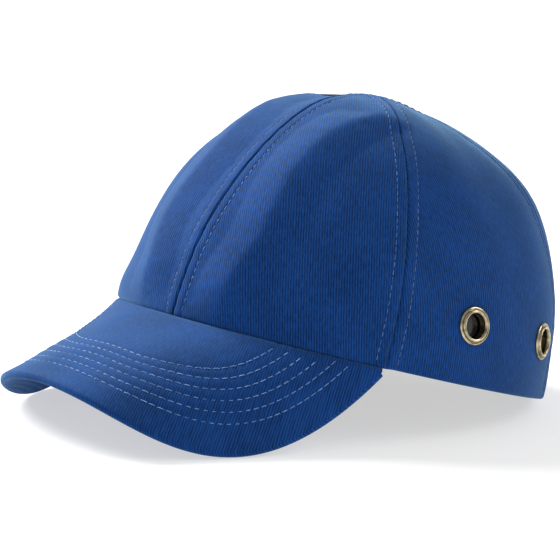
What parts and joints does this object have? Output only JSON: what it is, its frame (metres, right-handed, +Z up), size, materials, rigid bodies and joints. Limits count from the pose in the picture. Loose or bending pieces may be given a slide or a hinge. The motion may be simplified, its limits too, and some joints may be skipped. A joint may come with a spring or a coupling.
{
  "type": "bump cap",
  "caption": "Baseball-style bump cap: sewn twill panels with vent eyelets over a hard inner shell with foam pads, a curved peak and a hook-and-loop rear strap.",
  "frame": {"origin": "middle of the bounding box's underside, where the cap stands on a table", "axes": "+Z up; -Y forward, along the peak; +X to the wearer's left"},
  "size_m": [0.187, 0.2772, 0.1366],
  "materials": {
    "cotton_twill": "matte royal-blue cotton drill",
    "seam_tape": "matte woven tape",
    "brass": "antiqued, satin",
    "foam": "matte closed-cell foam",
    "sweatband_cloth": "matte towelling",
    "label_tape": "smooth satin tape, blank",
    "peak_board": "matte moulded sheet",
    "hook_tape": "hook tape",
    "loop_tape": "loop tape",
    "shell_abs": "gloss moulded"
  },
  "bodies": {
    "cap": {"front_left_panel": "cotton_twill", "side_left_panel": "cotton_twill", "rear_left_panel": "cotton_twill", "front_right_panel": "cotton_twill", "side_right_panel": "cotton_twill", "rear_right_panel": "cotton_twill", "hem_turn_up": "cotton_twill", "peak_top_cover": "cotton_twill", "peak_under_cover": "cotton_twill", "arch_binding": "cotton_twill", "hook_strap_root": "cotton_twill", "loop_strap_root": "cotton_twill", "front_seam_tape": "seam_tape", "rear_seam_tape": "seam_tape", "left_side_seam_tape": "seam_tape", "left_rear_seam_tape": "seam_tape", "right_side_seam_tape": "seam_tape", "right_rear_seam_tape": "seam_tape", "left_front_eyelet": "brass", "left_front_eyelet_washer": "brass", "left_rear_eyelet": "brass", "left_rear_eyelet_washer": "brass", "right_front_eyelet": "brass", "right_front_eyelet_washer": "brass", "right_rear_eyelet": "brass", "right_rear_eyelet_washer": "brass", "crown_pad_front": "foam", "crown_pad_left": "foam", "crown_pad_rear": "foam", "crown_pad_right": "foam", "left_temple_pad": "foam", "left_rear_pad": "foam", "right_temple_pad": "foam", "right_rear_pad": "foam", "front_pad": "foam", "brow_pad": "foam", "sweatband": "sweatband_cloth", "care_label": "label_tape", "peak_board": "peak_board", "protective_shell": "shell_abs"},
    "hook_side": {"hook_strap": "cotton_twill", "hook_patch": "hook_tape"},
    "loop_side": {"loop_strap": "cotton_twill", "loop_patch": "loop_tape"}
  },
  "joints": [
    {"name": "hook_strap_peel", "type": "hinge", "parent": "cap", "child": "hook_side", "pos_m": [-0.04706, 0.124, 0.01492], "axis": [0, 0.2343, 0.9722], "range_deg": [0, 100]},
    {"name": "loop_strap_swing", "type": "hinge", "parent": "cap", "child": "loop_side", "pos_m": [0.04476, 0.11888, 0.01615], "axis": [0, 0.2343, 0.9722], "range_deg": [0, 60]}
  ]
}
